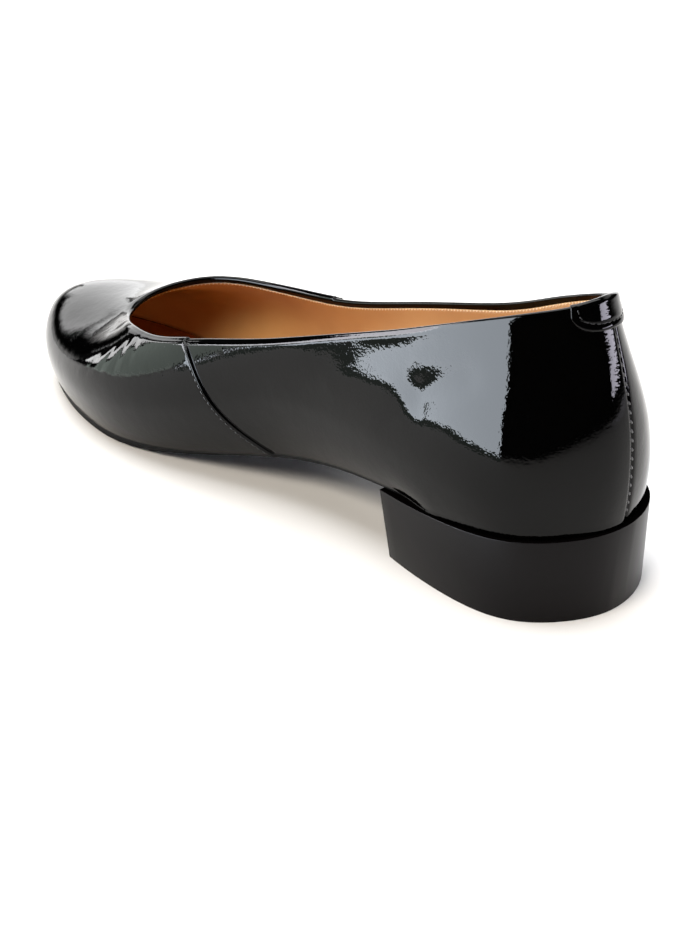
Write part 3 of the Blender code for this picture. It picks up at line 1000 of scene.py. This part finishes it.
# each lamp is aimed level at a point beside the shoe from a bearing (degrees from the toe toward the outer
# side): the point, bearing, distance, width, lowest and highest edge, watts, colour
lamps = {
    "lampSoftbox": ((-0.060, 0.030), 72, 0.62, 0.60, 0.000, 0.36, 19.5, "#E1EAF4"),
    "lampRoom": ((0.020, 0.030), 35, 0.80, 0.40, 0.000, 0.32, 1.7, "#E2F0E6"),
    "lampRoomHigh": ((0.000, 0.030), 41, 0.90, 0.28, 0.240, 0.75, 13.0, "#F4F2FA"),
    "lampGlint": ((0.045, 0.035), 14, 1.20, 0.20, 0.12, 0.58, 3.4, "#FFFFFF"),
    "lampBackStrip": ((-0.110, 0.0), -148, 1.10, 0.60, 0.113, 0.20, 4.0, "#F2EEFF"),
    "lampLiningFill": ((-0.060, 0.0), 92, 1.00, 0.80, 0.70, 1.25, 19.0, "#FFF4E4"),
    "lampFarSide": ((-0.050, -0.030), -100, 1.00, 1.20, 0.55, 1.15, 4.0, "#FFFCFD"),
}
shineOnly = ("lampSoftbox", "lampRoom", "lampRoomHigh", "lampGlint")
glowOnly = ("lampLiningFill",)


def aimedPlace(point, turn, distance, low, high):
    return (point[0] + distance * math.cos(turn), point[1] + distance * math.sin(turn), (low + high) / 2)


for name, (point, bearing, distance, width, low, high, watts, colour) in lamps.items():
    turn = math.radians(bearing)
    light = bpy.data.lights.new(name, "AREA")
    light.shape = "RECTANGLE"
    light.size = width
    light.size_y = high - low
    light.energy = watts
    light.color = hexColour(colour)[:3]
    lamp = bpy.data.objects.new(name, light)
    scene.collection.objects.link(lamp)
    lamp.location = aimedPlace(point, turn, distance, low, high)
    lamp.rotation_euler = (math.pi / 2, 0, turn + math.pi / 2)
    lamp.visible_camera = False
    lamp.visible_diffuse = name not in shineOnly
    lamp.visible_glossy = name not in glowOnly

overheadPlan = {"size": 1.3, "watts": 34.0, "place": (0.37, -0.14, 1.30)}
overhead = bpy.data.lights.new("lampOverhead", "AREA")
overhead.size = overheadPlan["size"]
overhead.energy = overheadPlan["watts"]
overheadLamp = bpy.data.objects.new("lampOverhead", overhead)
scene.collection.objects.link(overheadLamp)
overheadLamp.location = overheadPlan["place"]
overheadLamp.visible_camera = False


def glowingCard(name, point, bearing, distance, width, low, high, colour, strength, softEdges=None):
    # a lit card that only reflections see; soft edges are given as where the glow starts and is full, across
    # and up from the card's middle
    turn = math.radians(bearing)
    bpy.ops.mesh.primitive_plane_add(size=1, location=(0, 0, 0))
    card = bpy.context.active_object
    card.name = name
    card.scale = (width, high - low, 1)
    bpy.ops.object.transform_apply(location=False, rotation=False, scale=True)
    card.location = aimedPlace(point, turn, distance, low, high)
    card.rotation_euler = (math.pi / 2, 0, turn + math.pi / 2)
    glow = newMaterial(name + "Glow")
    shader = addNode(glow, "ShaderNodeEmission", {"Color": hexColour(colour), "Strength": strength})
    if softEdges:
        (acrossStart, acrossFull), (upStart, upFull) = softEdges
        place = addNode(glow, "ShaderNodeTexCoord", {})
        parts = addNode(glow, "ShaderNodeSeparateXYZ", {}, {0: place.outputs["Object"]})
        fade = {"interpolation_type": "SMOOTHSTEP", "To Max": strength}
        across = addNode(glow, "ShaderNodeMapRange",
                         {**fade, "From Min": acrossStart, "From Max": acrossFull},
                         {"Value": parts.outputs["X"]})
        up = addNode(glow, "ShaderNodeMapRange", {**fade, "From Min": upStart, "From Max": upFull},
                     {"Value": parts.outputs["Y"]})
        most = addNode(glow, "ShaderNodeMath", {"operation": "MAXIMUM"},
                       {0: across.outputs["Result"], 1: up.outputs["Result"]})
        glow.node_tree.links.new(most.outputs[0], shader.inputs["Strength"])
    output = addNode(glow, "ShaderNodeOutputMaterial", {})
    glow.node_tree.links.new(shader.outputs["Emission"], output.inputs["Surface"])
    card.data.materials.append(glow)
    card.visible_camera = False
    card.visible_shadow = False
    return card


glowingCard("cardBenchEdge", (-0.116, 0.048), 66, 0.40, 0.43, 0.0, 0.027, "#C8D8CE", 1.4)
glowingCard("cardBackdrop", (0.08, 0.0), -40, 1.50, 2.5, 0.0, 0.80, "#FFFFFF", 2.9,
            softEdges=((0.60, 0.43), (-0.06, 0.06)))
glowingCard("cardToeSide", (0.08, 0.02), -12, 1.20, 0.78, 0.0, 0.14, "#F4F2F0", 1.25,
            softEdges=((1.0, 1.1), (0.065, -0.04)))

scene.world = bpy.data.worlds.new("studioDark")
scene.world.use_nodes = True
background = scene.world.node_tree.nodes["Background"]
background.inputs["Color"].default_value = (0.020, 0.020, 0.021, 1)
background.inputs["Strength"].default_value = 1.0

cameraPlan = {
    "azimuth": 44.351, "elevation": 26.568, "distance": 0.400, "lens": 58.52, "roll": -0.318,
    "target": (-0.05994, 0.0375, 0.030),
}


def placeCamera(plan):
    azimuth, elevation = math.radians(plan["azimuth"]), math.radians(plan["elevation"])
    back = Vector((-math.cos(elevation) * math.cos(azimuth), math.cos(elevation) * math.sin(azimuth),
                   math.sin(elevation)))
    camera = bpy.data.objects.new("camera", bpy.data.cameras.new("camera"))
    scene.collection.objects.link(camera)
    camera.data.lens = plan["lens"]
    camera.data.sensor_width = 36
    camera.data.sensor_fit = "AUTO"
    camera.data.clip_start = 0.01
    camera.location = Vector(plan["target"]) + back * plan["distance"]
    level = back.to_track_quat("Z", "Y").to_matrix().to_4x4()
    camera.rotation_euler = (level @ Matrix.Rotation(math.radians(plan["roll"]), 4, "Z")).to_euler()
    scene.camera = camera


placeCamera(cameraPlan)
scene.view_settings.view_transform = "Standard"
